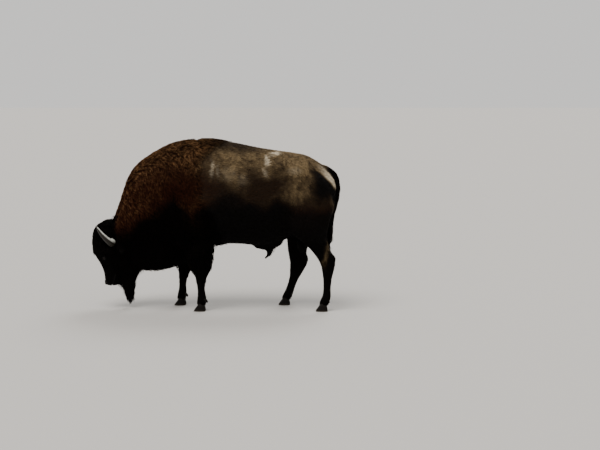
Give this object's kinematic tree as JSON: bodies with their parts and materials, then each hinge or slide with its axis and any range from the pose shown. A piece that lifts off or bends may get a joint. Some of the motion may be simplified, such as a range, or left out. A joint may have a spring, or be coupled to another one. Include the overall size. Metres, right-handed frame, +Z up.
{
  "type": "bison",
  "caption": "Life-size still model of a bison bull grazing: high hump, woolly mane and beard, short curved horns, slim legs on cloven hooves.",
  "frame": {"origin": "on the floor, under the centre of the bounding box", "axes": "-X towards the forehead, +Y towards the animal's right side, +Z up"},
  "size_m": [2.5424, 0.7346, 1.7429],
  "materials": {
    "summer_coat": "short sleek hair, sun-bleached brown along the upper barrel and croup, near black below",
    "mane_wool": "matted woolly curls, reddish dark brown with paler tips",
    "dark_hair": "coarse long hair, near black",
    "horn": "polished grey-black horn, paler along the upper edge",
    "hoof": "dull black horn with faint growth rings",
    "eye": "wet dark brown eye"
  },
  "bodies": {
    "root": {"trunk": "summer_coat", "neck": "mane_wool", "head": "dark_hair", "beard": "dark_hair", "sheath_tuft": "dark_hair", "tail_root": "dark_hair", "tail_switch": "dark_hair", "foreleg_left_upper": "dark_hair", "foreleg_left_lower": "dark_hair", "foreleg_right_upper": "dark_hair", "foreleg_right_lower": "dark_hair", "hindleg_left_upper": "dark_hair", "hindleg_left_lower": "dark_hair", "hindleg_right_upper": "dark_hair", "hindleg_right_lower": "dark_hair", "horn_left": "horn", "horn_right": "horn", "ear_left": "dark_hair", "ear_right": "dark_hair", "eye_left": "eye", "eye_right": "eye", "claw_foreleg_left_left": "hoof", "claw_foreleg_left_right": "hoof", "claw_foreleg_right_left": "hoof", "claw_foreleg_right_right": "hoof", "claw_hindleg_left_left": "hoof", "claw_hindleg_left_right": "hoof", "claw_hindleg_right_left": "hoof", "claw_hindleg_right_right": "hoof", "dewclaw_foreleg_left_left": "hoof", "dewclaw_foreleg_left_right": "hoof", "dewclaw_foreleg_right_left": "hoof", "dewclaw_foreleg_right_right": "hoof", "dewclaw_hindleg_left_left": "hoof", "dewclaw_hindleg_left_right": "hoof", "dewclaw_hindleg_right_left": "hoof", "dewclaw_hindleg_right_right": "hoof"}
  },
  "joints": []
}
